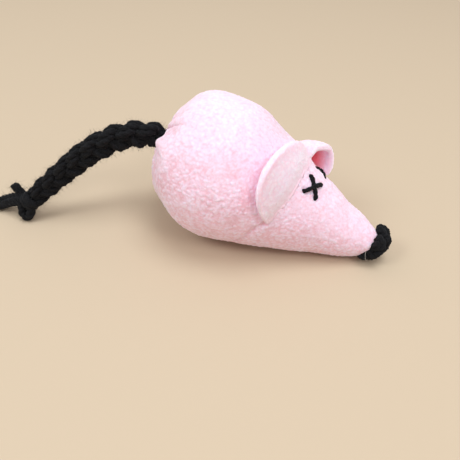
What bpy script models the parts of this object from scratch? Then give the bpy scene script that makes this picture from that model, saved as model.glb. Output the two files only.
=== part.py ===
"""Valerian mouse cat toy: a stuffed fleece mouse with stitched eyes, a knotted yarn nose and a braided tail.

Metres, +Z up. +X points to the nose and +Y to the mouse's left. The origin is on the floor, under the
middle of the mouse without its tail.
"""
import math

import bmesh
import bpy
from mathutils import Matrix, Vector

MM = 0.001

# Body
BODY_LENGTH = 85.7 * MM
BODY_RADIUS = 25.7 * MM
BODY_TILT = math.radians(19.6)
COVER_THICKNESS = 1.8 * MM
REST_FLAT_DEPTH = 0.5 * MM
# (share of the body's length, share of its radius), from the rear to the nose
BODY_PROFILE_SHARES = [
    (0.000, 0.385), (0.016, 0.541), (0.060, 0.772), (0.160, 0.953), (0.300, 1.000), (0.450, 0.872),
    (0.600, 0.693), (0.780, 0.467), (0.930, 0.283), (0.970, 0.215),
]

# Clearances and sewing twine
GAP = 0.3 * MM
TWINE_RADIUS = 0.35 * MM
# The filling's groove for a strand of twine
GROOVE_DEPTH = 2 * (TWINE_RADIUS + GAP)
GROOVE_HALF_WIDTH = 1.9 * MM
BELLY_GROOVE_SHARES = (0.05, 0.90)
BELLY_SEAM_SHARES = (0.10, 0.84)
EAR_SEAM_STEPS = 14

# Gathered mouth at the rear: the twine that gathers it runs loosely round the tail's pinched root
TAIL_ROOT_RADIUS = 2.7 * MM
GATHER_CLEARANCE = 0.65 * MM
GATHER_LOOP_RADIUS = TAIL_ROOT_RADIUS + GATHER_CLEARANCE + TWINE_RADIUS
MOUTH_CLEARANCE = 0.55 * MM
MOUTH_RADIUS = GATHER_LOOP_RADIUS + TWINE_RADIUS + MOUTH_CLEARANCE
MOUTH_DEPTH = 0.9 * MM
PUCKER_COUNT = 12
PUCKER_DEPTH = 1.1 * MM
PUCKER_LENGTH_SHARE = 0.15
PUCKER_RADIUS_SHARE = 0.93

# Ears, from the ridge to the lower tip: (share of the body's length at the base, degrees down from the
# ridge, share of the ear's width, lean from the cloth behind in degrees, curl in degrees)
EAR_WIDTH = 17.5 * MM
EAR_THICKNESS = 1.7 * MM
EAR_STATION_SHARES = {
    "right": [
        (0.559, -2, 0.51, 8, 6), (0.556, 16, 0.77, 12, 8), (0.553, 36, 0.98, 12, 14),
        (0.548, 50, 0.96, 12, 14), (0.535, 66, 0.59, 12, 12), (0.524, 81, 0.05, 12, 8),
    ],
    "left": [
        (0.505, 4, 0.28, 176, 14), (0.503, 22, 0.40, 122, 62), (0.519, 40, 0.67, 114, 53),
        (0.506, 60, 0.96, 150, 43), (0.509, 82, 0.16, 96, 35),
    ],
}
EAR_STEPS = 4
# The flap's thickness from its base to its rim
EAR_EDGE_SHARES = [1.0, 1.0, 1.0, 1.0, 1.0, 0.9, 0.45]
EAR_COLUMNS = len(EAR_EDGE_SHARES)

# Eyes, two crossed stitches each: where the cross is, as a share of the body's length and degrees down
# from the ridge, and how far each stitch reaches from there
STITCH_RADIUS = 0.8 * MM
STITCH_END_SHARE = 0.7
STITCH_OVER_SHARE = 1.2
STITCH_STEPS = 8
EYE_PLACE_SHARES = {"right": (0.617, 24.3), "left": (0.634, 22.0)}
STITCH_REACH_SHARES = [(0.030, 10.4), (0.030, -11.4)]

# Nose, a yarn knot of three lobes on the tip
NOSE_WIDTH = 12.4 * MM
NOSE_DEPTH = 10.6 * MM
NOSE_HEIGHT = 13.6 * MM
NOSE_LENGTH_SHARE = 1.005
NOSE_RISE = 3.4 * MM
# (rise of the lobe's middle, its half height, its width) as shares of the nose's sizes
NOSE_LOBE_SHARES = [(0.25, 0.25, 0.88), (0.0, 0.25, 1.0), (-0.26, 0.24, 0.92)]
NOSE_SHANK_RADIUS = 1.2 * MM
NOSE_SHANK_LENGTH = 15.0 * MM

# Tail, a braided yarn cord: its pinched root turns about the rear pole, and the route of its middle is
# measured from there
TAIL_RADIUS = 4.5 * MM
TAIL_END_RADIUS = 3.9 * MM
TAIL_ROUTE = [
    (0.0, 0.0, 0.0), (-0.0072, -0.0034, 0.0018), (-0.0148, -0.0073, 0.0009), (-0.0195, -0.0098, -0.0014),
    (-0.0242, -0.0119, -0.0048), (-0.0295, -0.0141, -0.0098), (-0.0347, -0.0161, -0.0146),
    (-0.0388, -0.0178, -0.0184), (-0.0428, -0.0193, -0.0224), (-0.0450, -0.0201, -0.0247),
]
TAIL_SPACING = 3.0 * MM
# (distance from the pivot, radius) of the rounded root inside the mouth, as shares of its radius
TAIL_ROOT_SHARES = [(0.83, 0.55), (0.62, 0.78), (0.34, 0.94)]
TAIL_SWELL_LENGTH = 6.0 * MM

# Knot at the tail's end: (offset of a lobe from the knot's middle, its half sizes) as shares
TAIL_KNOT_SIZE = 5.2 * MM
TAIL_KNOT_LEAD_SHARE = 0.85
TAIL_KNOT_LOBE_SHARES = [
    ((0.0, 0.0, 0.10), (0.88, 0.88, 0.84)), ((0.04, 0.0, -0.60), (0.52, 0.56, 0.48)),
    ((0.30, -0.34, 0.02), (0.56, 0.56, 0.62)),
]
# Loose yarn ends: points from the knot's middle, as shares of its size
LOOSE_END_RADIUS = 1.8 * MM
LOOSE_END_STEPS = 2
LOOSE_END_SHARES = {
    "upper": [(-0.72, 0.36, 0.74), (-0.96, 0.40, 1.00), (-1.28, 0.42, 1.27)],
    "rear": [(-1.04, 0.12, -0.10), (-1.40, 0.26, -0.20), (-1.85, 0.30, -0.45), (-2.30, 0.25, -0.70)],
}

# Inner end of the tail, knotted inside the filling
ANCHOR_SINK = 1.1 * MM
ANCHOR_START = MOUTH_DEPTH + COVER_THICKNESS + ANCHOR_SINK
ANCHOR_RADIUS = 3.2 * MM
ANCHOR_KNOT_RADIUS = 5.2 * MM
ANCHOR_LENGTH = 14.0 * MM
# (share of the anchor's length, share from the cord's radius to the knot's)
ANCHOR_PROFILE_SHARES = [(0.0, 0.0), (0.42, 0.0), (0.52, 0.72), (0.70, 1.0), (0.88, 0.75), (1.0, -0.6)]

# Herb pouch inside the filling, open at its tied neck
POUCH_CLEARANCE = 2.2 * MM
POUCH_START = ANCHOR_START + ANCHOR_LENGTH + POUCH_CLEARANCE
POUCH_LENGTH = 30.0 * MM
POUCH_RADIUS = 11.5 * MM
POUCH_THICKNESS = 0.7 * MM
POUCH_NECK_SHARE = 0.12
# (share of the pouch's length, share of its radius)
POUCH_PROFILE_SHARES = [
    (0.0, 0.34), (0.12, 0.21), (0.24, 0.62), (0.46, 1.0), (0.72, 0.90), (0.92, 0.50), (1.0, 0.12),
]
ROOT_START_SHARE = 0.24

BODY_SIDES = 48
INNER_SIDES = 32
TUBE_SIDES = 12
TWINE_SIDES = 8
PROFILE_STEPS = 2
TAIL_RESOLUTION = 4
LOOSE_END_RESOLUTION = 2
LOBE_SEGMENTS = 16
LOBE_RINGS = 10
LOBE_TURN = math.radians(8)
SHARP_ANGLE = math.radians(50)

SIDES = {"right": -1, "left": 1}
COLORS = {
    "fleece": (0.93, 0.62, 0.74), "yarn": (0.012, 0.012, 0.014), "fibre": (0.90, 0.89, 0.86),
    "twine": (0.90, 0.66, 0.74), "muslin": (0.80, 0.74, 0.62), "valerian": (0.30, 0.20, 0.11),
}
ROUGHNESS = {"fleece": 0.95, "yarn": 0.90, "fibre": 1.0, "twine": 0.7, "muslin": 0.9, "valerian": 0.95}


def smooth_curve(points, steps):
    """Points on one smooth curve through the given points, with so many steps to each span."""
    points = [Vector(point) for point in points]
    knots = [0.0]
    for start, end in zip(points, points[1:]):
        knots.append(knots[-1] + math.sqrt((end - start).length))
    last = len(points) - 1
    slopes = []
    for i in range(len(points)):
        low = max(i - 1, 0)
        high = min(i + 1, last)
        slopes.append((points[high] - points[low]) / (knots[high] - knots[low]))
    curve = []
    for i in range(last):
        span = knots[i + 1] - knots[i]
        for k in range(steps):
            t = k / steps
            chord = points[i] * (2 * t**3 - 3 * t**2 + 1) + points[i + 1] * (3 * t**2 - 2 * t**3)
            bend = slopes[i] * (t**3 - 2 * t**2 + t) + slopes[i + 1] * (t**3 - t**2)
            curve.append(chord + bend * span)
    curve.append(points[last])
    return curve


def even_curve(points, spacing):
    """Points at about one spacing along a smooth curve through the given points."""
    fine = smooth_curve(points, 24)
    walked = [0.0]
    for start, end in zip(fine, fine[1:]):
        walked.append(walked[-1] + (end - start).length)
    count = round(walked[-1] / spacing)
    even = []
    i = 0
    for k in range(count + 1):
        target = walked[-1] * k / count
        while i < len(fine) - 2 and walked[i + 1] < target:
            i += 1
        share = (target - walked[i]) / (walked[i + 1] - walked[i])
        even.append(fine[i].lerp(fine[i + 1], share))
    return even


def cover_profile():
    """The cover's outer (along, radius) points, from the gathered mouth to the hole in the tip."""
    points = [(MOUTH_DEPTH, MOUTH_RADIUS)]
    for length_share, radius_share in BODY_PROFILE_SHARES:
        points.append((BODY_LENGTH * length_share, BODY_RADIUS * radius_share))
    points.append((BODY_LENGTH, NOSE_SHANK_RADIUS + GAP))
    return [tuple(point) for point in smooth_curve(points, PROFILE_STEPS)]


def inset_profile(profile, inset):
    """A profile moved so far inwards, square to itself; its two ends only move along the axis."""
    moved = []
    last = len(profile) - 1
    for i, (along, radius) in enumerate(profile):
        low = profile[max(i - 1, 0)]
        high = profile[min(i + 1, last)]
        run = Vector((high[0] - low[0], high[1] - low[1])).normalized()
        moved.append((along + inset * run.y, radius - inset * run.x))
    moved[0] = (profile[0][0] + inset, profile[0][1])
    moved[last] = (profile[last][0] - inset, profile[last][1])
    return moved


def radius_at(profile, along):
    """The radius so far along a profile, in front of its rearmost point."""
    side = profile[profile.index(min(profile)):]
    for (start, start_radius), (end, end_radius) in zip(side, side[1:]):
        if along <= end:
            share = max((along - start) / (end - start), 0)
            return start_radius + (end_radius - start_radius) * share
    return side[-1][1]


COVER = cover_profile()
COVER_LIP = COVER.index(min(COVER))
COVER_INSIDE = inset_profile(COVER, COVER_THICKNESS)


def body_frame():
    """The frame of the body's axis: its origin is the rear pole and its +X runs to the nose."""
    rear = min(along * math.cos(BODY_TILT) - radius * math.sin(BODY_TILT) for along, radius in COVER)
    low = max(along * math.sin(BODY_TILT) + radius * math.cos(BODY_TILT) for along, radius in COVER)
    nose = BODY_LENGTH * NOSE_LENGTH_SHARE * math.cos(BODY_TILT) + NOSE_RISE * math.sin(BODY_TILT)
    pole = Vector((-(rear + nose + NOSE_DEPTH / 2) / 2, 0, low - REST_FLAT_DEPTH))
    return Matrix.Translation(pole) @ Matrix.Rotation(BODY_TILT, 4, "Y")


FRAME = body_frame()
POLE = FRAME.translation


def around(degrees):
    """The direction square to the body's axis, so many degrees from its top to the left."""
    angle = math.radians(degrees)
    return Vector((0, math.sin(angle), math.cos(angle)))


def on_cover(along, degrees, lift, profile=COVER):
    """A point over the cover, with the directions out of it and back along it, in world axes."""
    step = BODY_LENGTH / 200
    slope = (radius_at(profile, along + step) - radius_at(profile, along - step)) / (2 * step)
    ahead = Vector((1, 0, 0))
    outward = (around(degrees) - ahead * slope).normalized()
    backward = (-ahead - around(degrees) * slope).normalized()
    point = ahead * along + around(degrees) * radius_at(profile, along) + outward * lift
    turn = FRAME.to_3x3()
    return FRAME @ point, turn @ outward, turn @ backward


def pucker(point):
    """How the gathering draws the cloth in at a point in body axes."""
    radius = math.hypot(point.y, point.z)
    reach = PUCKER_LENGTH_SHARE * BODY_LENGTH
    if point.x >= reach:
        return Vector((0, 0, 0))
    rise = min(max((radius - MOUTH_RADIUS) / MOUTH_RADIUS, 0), 1)
    fade = max(1 - radius / (PUCKER_RADIUS_SHARE * BODY_RADIUS), 0) ** 0.5
    fold = (1 - math.cos(PUCKER_COUNT * math.atan2(point.y, point.z))) / 2
    inward = Vector((2 * reach, 0, 0)) - point
    return inward.normalized() * PUCKER_DEPTH * rise * fade * fold


def ring(along, radius, sides=INNER_SIDES):
    """A ring of points round the body's axis, in world axes."""
    middle = Vector((along, 0, 0))
    return [FRAME @ (middle + around(360 * i / sides) * radius) for i in range(sides)]


def cloth_ring(along, radius, floor):
    """A ring of the stuffed body: drawn in by the puckers and flat where it rests."""
    points = []
    for i in range(BODY_SIDES):
        point = Vector((along, 0, 0)) + around(360 * i / BODY_SIDES) * radius
        point = FRAME @ (point + pucker(point))
        point.z = max(point.z, floor)
        points.append(point)
    return points


def add_material(data, name, finish):
    """Gives a piece a Principled material of its own."""
    made = bpy.data.materials.new(name)
    made.use_nodes = True
    shader = made.node_tree.nodes["Principled BSDF"]
    shader.inputs["Base Color"].default_value = (*COLORS[finish], 1)
    shader.inputs["Roughness"].default_value = ROUGHNESS[finish]
    shader.inputs["Metallic"].default_value = 0
    data.materials.append(made)


def add_piece(name, data, finish, origin):
    """Links a mesh or a curve as one named piece whose origin is at a point in world axes."""
    add_material(data, name, finish)
    piece = bpy.data.objects.new(name, data)
    piece.location = origin
    bpy.context.collection.objects.link(piece)
    return piece


def skin(name, rings, finish, looped=False, origin=(0, 0, 0)):
    """A closed solid through rings of world points, looped into a shell or capped at both ends."""
    sculpt = bmesh.new()
    loops = [[sculpt.verts.new(point - Vector(origin)) for point in points] for points in rings]
    pairs = list(zip(loops, loops[1:]))
    if looped:
        pairs.append((loops[-1], loops[0]))
    else:
        sculpt.faces.new(loops[0])
        sculpt.faces.new(loops[-1])
    for first, second in pairs:
        for i in range(len(first)):
            j = (i + 1) % len(first)
            sculpt.faces.new((first[i], first[j], second[j], second[i]))
    bmesh.ops.recalc_face_normals(sculpt, faces=sculpt.faces)
    mesh = bpy.data.meshes.new(name)
    sculpt.to_mesh(mesh)
    sculpt.free()
    mesh.shade_smooth()
    mesh.set_sharp_from_angle(angle=SHARP_ANGLE)
    return add_piece(name, mesh, finish, origin)


def tube_rings(points, radii, sides):
    """Rings of a tube along points in world axes."""
    rings = []
    side = None
    for i, (point, radius) in enumerate(zip(points, radii)):
        run = (points[min(i + 1, len(points) - 1)] - points[max(i - 1, 0)]).normalized()
        side = run.orthogonal().normalized() if side is None else (side - run * side.dot(run)).normalized()
        other = run.cross(side)
        turns = [2 * math.pi * k / sides for k in range(sides)]
        rings.append([point + (side * math.cos(turn) + other * math.sin(turn)) * radius for turn in turns])
    return rings


def tube(name, points, radius, sides, finish, origin=(0, 0, 0)):
    """A plain round strand along points in world axes."""
    return skin(name, tube_rings(points, [radius] * len(points), sides), finish, origin=origin)


def cord(name, points, radii, resolution, origin):
    """A free yarn cord along points in world axes: a curve with a radius at each point."""
    curve = bpy.data.curves.new(name, "CURVE")
    curve.dimensions = "3D"
    curve.bevel_depth = max(radii)
    curve.bevel_resolution = resolution
    curve.use_fill_caps = True
    spline = curve.splines.new("POLY")
    spline.points.add(len(points) - 1)
    for place, point, radius in zip(spline.points, points, radii):
        place.co = (*(point - origin), 1)
        place.radius = radius / max(radii)
    return add_piece(name, curve, "yarn", origin)


def ellipsoid(name, middle, half_sizes, finish, turn=0, origin=(0, 0, 0)):
    """A smooth lobe with its middle in world axes, whose facets are turned about +Z."""
    sculpt = bmesh.new()
    bmesh.ops.create_uvsphere(sculpt, u_segments=LOBE_SEGMENTS, v_segments=LOBE_RINGS, radius=1)
    sculpt.transform(Matrix.Rotation(turn, 4, "Z"))
    sculpt.transform(Matrix.Translation(middle - Vector(origin)) @ Matrix.Diagonal((*half_sizes, 1)))
    mesh = bpy.data.meshes.new(name)
    sculpt.to_mesh(mesh)
    sculpt.free()
    mesh.shade_smooth()
    mesh.set_sharp_from_angle(angle=SHARP_ANGLE)
    return add_piece(name, mesh, finish, origin)


def combine(piece, tool, operation):
    """Joins or cuts a piece with a helper solid, which is left out of the model."""
    tool.hide_render = True
    tool.display_type = "WIRE"
    cut = piece.modifiers.new(tool.name, "BOOLEAN")
    cut.operation = operation
    cut.solver = "EXACT"
    cut.object = tool


def make_cover():
    """The fleece cone, one sheet sewn under the belly, open at the gathered mouth and at the tip."""
    outside = [cloth_ring(along, radius, 0) for along, radius in COVER]
    inside = [cloth_ring(along, radius, COVER_THICKNESS) for along, radius in COVER_INSIDE]
    return skin("fleece_cover", outside + inside[::-1], "fleece", looped=True)


def notched(profile, along):
    """A profile with a groove round it for a strand of twine."""
    kept = [point for point in profile if abs(point[0] - along) > GROOVE_HALF_WIDTH]
    for edge in (along - GROOVE_HALF_WIDTH, along + GROOVE_HALF_WIDTH):
        kept.append((edge, radius_at(profile, edge)))
    kept.append((along, radius_at(profile, along) - GROOVE_DEPTH))
    lip = profile.index(min(profile))
    return kept[:lip] + sorted(kept[lip:])


def anchor_profile(clearance=0):
    """The (along, radius) points of the tail's inner end, with a clearance round it."""
    points = []
    for length_share, radius_share in ANCHOR_PROFILE_SHARES:
        radius = ANCHOR_RADIUS + (ANCHOR_KNOT_RADIUS - ANCHOR_RADIUS) * radius_share
        points.append((ANCHOR_START + ANCHOR_LENGTH * length_share, radius + clearance))
    return points


def pouch_profile():
    """The pouch's outer (along, radius) points, from its tied mouth to its blind end."""
    points = []
    for length_share, radius_share in POUCH_PROFILE_SHARES:
        points.append((POUCH_START + POUCH_LENGTH * length_share, POUCH_RADIUS * radius_share))
    return [tuple(point) for point in smooth_curve(points, PROFILE_STEPS)]


def make_filling():
    """The fibre filling, which follows the cover and leaves room for the anchor, pouch and yarn."""
    outer = inset_profile(COVER, COVER_THICKNESS + GAP)
    for side in SIDES:
        outer = notched(outer, BODY_LENGTH * EAR_STATION_SHARES[side][0][0])
    start, end = (BODY_LENGTH * share for share in BELLY_GROOVE_SHARES)
    outside = []
    for along, radius in outer:
        points = cloth_ring(along, radius, COVER_THICKNESS + GAP)
        if start < along < end:
            points[BODY_SIDES // 2] += FRAME.to_3x3() @ Vector((0, 0, GROOVE_DEPTH))
        outside.append(points)
    bore_end = BODY_LENGTH * NOSE_LENGTH_SHARE - NOSE_SHANK_LENGTH - GAP
    outside.append(ring(bore_end, NOSE_SHANK_RADIUS + GAP, BODY_SIDES))
    room = [(outer[0][0], ANCHOR_RADIUS + GAP)] + anchor_profile(GAP)[1:-1]
    room += inset_profile(pouch_profile(), -GAP)[2 * PROFILE_STEPS:]
    inside = [ring(along, radius, BODY_SIDES) for along, radius in room]
    return skin("fibre_filling", inside[::-1] + outside, "fibre")


def make_pouch():
    """The muslin pouch with an open neck, the twine that ties the neck, and the dried root in it."""
    outer = pouch_profile()
    inner = inset_profile(outer, POUCH_THICKNESS)
    inner[0] = (outer[0][0], outer[0][1] - POUCH_THICKNESS)
    shell = [ring(along, radius) for along, radius in outer[::-1] + inner]
    skin("valerian_pouch", shell, "muslin")
    start = POUCH_START + POUCH_LENGTH * ROOT_START_SHARE
    fill = [point for point in inset_profile(outer, POUCH_THICKNESS + GAP) if point[0] > start]
    skin("valerian_root", [ring(along, radius) for along, radius in fill], "valerian")
    neck = POUCH_START + POUCH_LENGTH * POUCH_NECK_SHARE
    neck_radius = POUCH_RADIUS * POUCH_PROFILE_SHARES[1][1] + GAP + TWINE_RADIUS
    loop("pouch_tie", FRAME @ Vector((neck, 0, 0)), FRAME.to_3x3() @ Vector((1, 0, 0)), neck_radius)


def loop(name, middle, axis, radius, origin=(0, 0, 0)):
    """A closed loop of twine about a point and a direction in world axes."""
    axis = axis.normalized()
    side = axis.orthogonal().normalized()
    other = axis.cross(side)
    rings = []
    for i in range(INNER_SIDES):
        turn = 2 * math.pi * i / INNER_SIDES
        out = side * math.cos(turn) + other * math.sin(turn)
        section = []
        for k in range(TWINE_SIDES):
            roll = 2 * math.pi * k / TWINE_SIDES
            section.append(middle + out * (radius + TWINE_RADIUS * math.cos(roll))
                           + axis * TWINE_RADIUS * math.sin(roll))
        rings.append(section)
    return skin(name, rings, "twine", looped=True, origin=origin)


def make_seam_threads():
    """The twine inside the cover: along the belly, and along the base of each ear."""
    sink = GAP + TWINE_RADIUS
    start, end = (BODY_LENGTH * share for share in BELLY_SEAM_SHARES)
    points = []
    for along, radius in COVER_INSIDE[COVER_LIP:]:
        if start <= along <= end:
            point = FRAME @ (around(180) * radius + Vector((along, 0, 0)))
            point.z = max(point.z, COVER_THICKNESS)
            points.append(point + FRAME.to_3x3() @ Vector((0, 0, sink)))
    tube("belly_seam_thread", points, TWINE_RADIUS, TWINE_SIDES, "twine")
    for side, sign in SIDES.items():
        stations = EAR_STATION_SHARES[side]
        along = BODY_LENGTH * stations[0][0]
        radius = radius_at(COVER_INSIDE, along) - sink
        first, last = stations[0][1], stations[-1][1]
        points = []
        for i in range(EAR_SEAM_STEPS + 1):
            degrees = sign * (first + (last - first) * i / EAR_SEAM_STEPS)
            points.append(FRAME @ (around(degrees) * radius + Vector((along, 0, 0))))
        tube(f"ear_{side}_seam_thread", points, TWINE_RADIUS, TWINE_SIDES, "twine")


def clear_of_cover(point):
    """The point itself, or straight out from it where it would be under the cover."""
    body = FRAME.inverted() @ point
    radius = math.hypot(body.y, body.z)
    lowest = radius_at(COVER, body.x) + GAP
    if radius < lowest:
        body.y *= lowest / radius
        body.z *= lowest / radius
    return FRAME @ body


def make_ear(side):
    """One curled fleece flap, sewn to the cover along its base; its origin is on its hinge line."""
    rings = []
    base = []
    for share, degrees, width_share, lean, curl in smooth_curve(EAR_STATION_SHARES[side], EAR_STEPS):
        lift = GAP + EAR_THICKNESS / 2
        middle, outward, backward = on_cover(BODY_LENGTH * share, SIDES[side] * degrees, lift)
        base.append(middle.copy())
        step = EAR_WIDTH * width_share / (EAR_COLUMNS - 1)
        upper = []
        lower = []
        for k in range(EAR_COLUMNS):
            turn = math.radians(lean + curl * max(k - 0.5, 0) / (EAR_COLUMNS - 1))
            run = backward * math.cos(turn) + outward * math.sin(turn)
            if k > 0:
                middle = middle + run * step
            face = outward * math.cos(turn) - backward * math.sin(turn)
            half = face * EAR_THICKNESS / 2 * EAR_EDGE_SHARES[k]
            upper.append(clear_of_cover(middle + half))
            lower.append(clear_of_cover(middle - half))
        rings.append(upper + lower[::-1])
    return skin(f"ear_{side}", rings, "fleece", origin=base[len(base) // 2])


def make_eye(side):
    """A cross of two yarn stitches over the cover, one lying over the other."""
    share, degrees = EYE_PLACE_SHARES[side]
    stitches = []
    for over, (reach, spread) in enumerate(STITCH_REACH_SHARES):
        points = []
        radii = []
        for i in range(STITCH_STEPS + 1):
            way = 2 * i / STITCH_STEPS - 1
            arch = (1 + math.cos(math.pi * way)) / 2
            radius = STITCH_RADIUS * (STITCH_END_SHARE + (1 - STITCH_END_SHARE) * (1 - way**2))
            lift = GAP + radius + over * STITCH_RADIUS * STITCH_OVER_SHARE * arch
            along = BODY_LENGTH * (share + reach * way)
            points.append(on_cover(along, SIDES[side] * (degrees + spread * way), lift)[0])
            radii.append(radius)
        name = f"eye_{side}_cross" if over == 0 else f"eye_{side}_over_stitch"
        stitches.append(skin(name, tube_rings(points, radii, TUBE_SIDES), "yarn"))
    combine(stitches[0], stitches[1], "UNION")
    return stitches[0]


def make_nose():
    """The yarn knot on the tip, whose strand goes through the tip into the filling."""
    middle = FRAME @ Vector((BODY_LENGTH * NOSE_LENGTH_SHARE, 0, NOSE_RISE))
    lobes = []
    for i, (rise, half_height, width) in enumerate(NOSE_LOBE_SHARES):
        half_sizes = (NOSE_DEPTH / 2 * width, NOSE_WIDTH / 2 * width, NOSE_HEIGHT * half_height)
        name = "nose_knot" if i == 0 else f"nose_lobe_{i}"
        place = middle + Vector((0, 0, NOSE_HEIGHT * rise))
        lobes.append(ellipsoid(name, place, half_sizes, "yarn", LOBE_TURN * i))
    for lobe in lobes[1:]:
        combine(lobes[0], lobe, "UNION")
    around_tip = [point for point in inset_profile(COVER, -GAP) if point[0] > BODY_LENGTH / 2]
    tip = skin("nose_tip_room", [ring(along, radius) for along, radius in around_tip], "yarn")
    combine(lobes[0], tip, "DIFFERENCE")
    start = BODY_LENGTH * NOSE_LENGTH_SHARE - NOSE_SHANK_LENGTH
    end = BODY_LENGTH + GAP + NOSE_SHANK_RADIUS
    shank_points = [FRAME @ Vector((start, 0, 0)), FRAME @ Vector((end, 0, 0))]
    shank = tube("nose_shank", shank_points, NOSE_SHANK_RADIUS, TUBE_SIDES, "yarn")
    combine(lobes[0], shank, "UNION")
    return lobes[0]


def tail_points():
    """The points and radii of the tail's cord, from the rounded root in the mouth to the knot."""
    route = even_curve([POLE + Vector(point) for point in TAIL_ROUTE], TAIL_SPACING)
    inward = (route[0] - route[1]).normalized()
    points = []
    radii = []
    for distance, radius in TAIL_ROOT_SHARES:
        points.append(POLE + inward * TAIL_ROOT_RADIUS * distance)
        radii.append(TAIL_ROOT_RADIUS * radius)
    walked = 0
    for i, point in enumerate(route):
        walked += (point - route[max(i - 1, 0)]).length
        swell = min(max((walked - TAIL_ROOT_RADIUS) / TAIL_SWELL_LENGTH, 0), 1)
        swell = swell * swell * (3 - 2 * swell)
        full = TAIL_RADIUS + (TAIL_END_RADIUS - TAIL_RADIUS) * i / (len(route) - 1)
        points.append(point)
        radii.append(TAIL_ROOT_RADIUS + (full - TAIL_ROOT_RADIUS) * swell)
    return points, radii


def make_tail():
    """The braided cord, the twine that gathers the mouth round it, its end knot and the loose yarn."""
    points, radii = tail_points()
    cord("tail_braid", points, radii, TAIL_RESOLUTION, POLE)
    root = len(TAIL_ROOT_SHARES)
    loop("gather_thread", POLE, points[root] - points[root + 1], GATHER_LOOP_RADIUS, POLE)
    run = (points[-1] - points[-2]).normalized()
    middle = points[-1] + run * TAIL_KNOT_SIZE * TAIL_KNOT_LEAD_SHARE
    lobes = []
    for i, (offset, half_sizes) in enumerate(TAIL_KNOT_LOBE_SHARES):
        name = "tail_knot" if i == 0 else f"tail_knot_lobe_{i}"
        place = middle + Vector(offset) * TAIL_KNOT_SIZE
        half_sizes = Vector(half_sizes) * TAIL_KNOT_SIZE
        lobes.append(ellipsoid(name, place, half_sizes, "yarn", LOBE_TURN * i, POLE))
    for lobe in lobes[1:]:
        combine(lobes[0], lobe, "UNION")
    face = points[-1] + run * GAP
    room = tube("tail_end_room", [face - run * TAIL_KNOT_SIZE, face], TAIL_KNOT_SIZE, TUBE_SIDES, "yarn")
    combine(lobes[0], room, "DIFFERENCE")
    for name, shares in LOOSE_END_SHARES.items():
        end = smooth_curve([middle + Vector(share) * TAIL_KNOT_SIZE for share in shares], LOOSE_END_STEPS)
        cord(f"tail_loose_end_{name}", end, [LOOSE_END_RADIUS] * len(end), LOOSE_END_RESOLUTION, POLE)


def make_anchor():
    """The tail's inner end, knotted in the filling so that it can't be pulled out."""
    rings = [ring(along, radius) for along, radius in anchor_profile()]
    return skin("tail_anchor", rings, "yarn")


def main():
    for old in list(bpy.data.objects):
        bpy.data.objects.remove(old, do_unlink=True)
    make_cover()
    make_filling()
    make_pouch()
    make_seam_threads()
    make_nose()
    for side in SIDES:
        make_ear(side)
        make_eye(side)
    make_anchor()
    make_tail()


main()
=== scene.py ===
"""Valerian mouse cat toy: the fleece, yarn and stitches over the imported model."""
import math

import bmesh
import bpy
import numpy as np
from mathutils import Matrix, Vector


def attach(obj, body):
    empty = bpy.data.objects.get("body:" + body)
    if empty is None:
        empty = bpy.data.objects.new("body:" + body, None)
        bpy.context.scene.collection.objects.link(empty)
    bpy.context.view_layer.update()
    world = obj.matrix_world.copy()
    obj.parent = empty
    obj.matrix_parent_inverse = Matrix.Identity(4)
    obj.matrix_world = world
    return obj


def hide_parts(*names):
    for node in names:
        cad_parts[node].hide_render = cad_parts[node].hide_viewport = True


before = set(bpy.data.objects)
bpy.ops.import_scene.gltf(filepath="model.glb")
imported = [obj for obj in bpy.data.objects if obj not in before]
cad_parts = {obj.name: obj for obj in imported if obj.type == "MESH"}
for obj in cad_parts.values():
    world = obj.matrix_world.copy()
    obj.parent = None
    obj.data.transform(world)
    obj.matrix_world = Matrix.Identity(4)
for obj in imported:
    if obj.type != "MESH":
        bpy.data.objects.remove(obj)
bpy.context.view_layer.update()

MM = 0.001

# The mouse's form, as in the solids
BODY_LENGTH = 85.7 * MM
BODY_RADIUS = 25.7 * MM
BODY_TILT = math.radians(19.6)
POLE = np.array([-42.0, 0.0, 33.63]) * MM
MOUTH = (0.9 * MM, 4.6 * MM)
TIP_RADIUS = 1.5 * MM
COVER_THICKNESS = 1.8 * MM
PROFILE_SHARES = [
    (0.000, 0.385), (0.016, 0.541), (0.060, 0.772), (0.160, 0.953), (0.300, 1.000), (0.450, 0.872),
    (0.600, 0.693), (0.780, 0.467), (0.930, 0.283), (0.970, 0.215),
]
NOSE_LENGTH_SHARE = 1.005
NOSE_RISE = 3.4 * MM
TAIL_ROUTE = np.array([
    (0.0, 0.0, 0.0), (-0.0072, -0.0034, 0.0018), (-0.0148, -0.0073, 0.0009), (-0.0195, -0.0098, -0.0014),
    (-0.0242, -0.0119, -0.0048), (-0.0295, -0.0141, -0.0098), (-0.0347, -0.0161, -0.0146),
    (-0.0388, -0.0178, -0.0184), (-0.0428, -0.0193, -0.0224), (-0.0450, -0.0201, -0.0247),
])
KNOT_MIDDLE = np.array([-47.96, -21.18, -27.80]) * MM

AHEAD = np.array([math.cos(BODY_TILT), 0.0, -math.sin(BODY_TILT)])
LEFT = np.array([0.0, 1.0, 0.0])
UP = np.array([math.sin(BODY_TILT), 0.0, math.cos(BODY_TILT)])

# The cloth's lie over the form: (share of the length, degrees down from the ridge to the left, reach as a
# share of the length, reach in degrees, height)
SWELLS = [
    (0.09, 10, 0.07, 40, 1.0 * MM), (0.01, -64, 0.045, 17, 1.5 * MM), (0.085, -132, 0.075, 22, -1.5 * MM),
    (0.97, -125, 0.05, 40, -0.6 * MM), (0.30, -20, 0.10, 30, 0.3 * MM), (0.63, 36, 0.055, 18, -1.7 * MM),
    (0.885, 32, 0.05, 40, 0.9 * MM), (0.43, 12, 0.09, 35, -1.1 * MM),
]
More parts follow.
